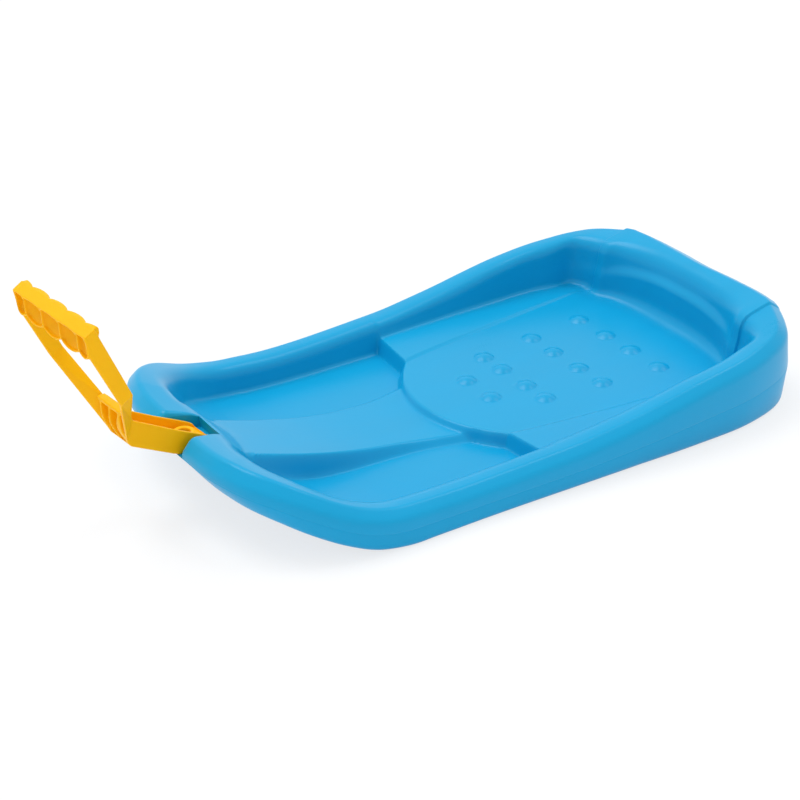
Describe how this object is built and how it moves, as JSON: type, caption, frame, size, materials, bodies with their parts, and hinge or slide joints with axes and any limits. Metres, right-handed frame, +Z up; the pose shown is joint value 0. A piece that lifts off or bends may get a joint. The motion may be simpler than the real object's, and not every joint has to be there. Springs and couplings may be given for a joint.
{
  "type": "child's plastic sled",
  "caption": "Low moulded sled pan with a raised rear, a dished seat, side footwells and a swivelling tow handle on its nose.",
  "frame": {"origin": "under the middle of the hull, on the flat underside that rests on the ground", "axes": "+X towards the nose and the tow handle, +Y to the left of the rider, +Z up"},
  "size_m": [0.8919, 0.4282, 0.2717],
  "materials": {
    "blue_polyethylene": "satin blow-moulded polyethylene",
    "yellow_polypropylene": "satin injection-moulded polypropylene",
    "zinc_plated_steel": "zinc plated"
  },
  "bodies": {
    "hull": {"hull": "blue_polyethylene", "pivot_bolt": "zinc_plated_steel", "head_washer": "zinc_plated_steel", "floor_washer": "zinc_plated_steel", "lock_nut": "zinc_plated_steel"},
    "tow_handle": {"tow_handle": "yellow_polypropylene"}
  },
  "joints": [
    {"name": "handle_swivel", "type": "hinge", "parent": "hull", "child": "tow_handle", "pos_m": [0.36175, 0, 0.07], "axis": [0, 0, 1], "range_deg": [-30.5, 19.5]}
  ]
}
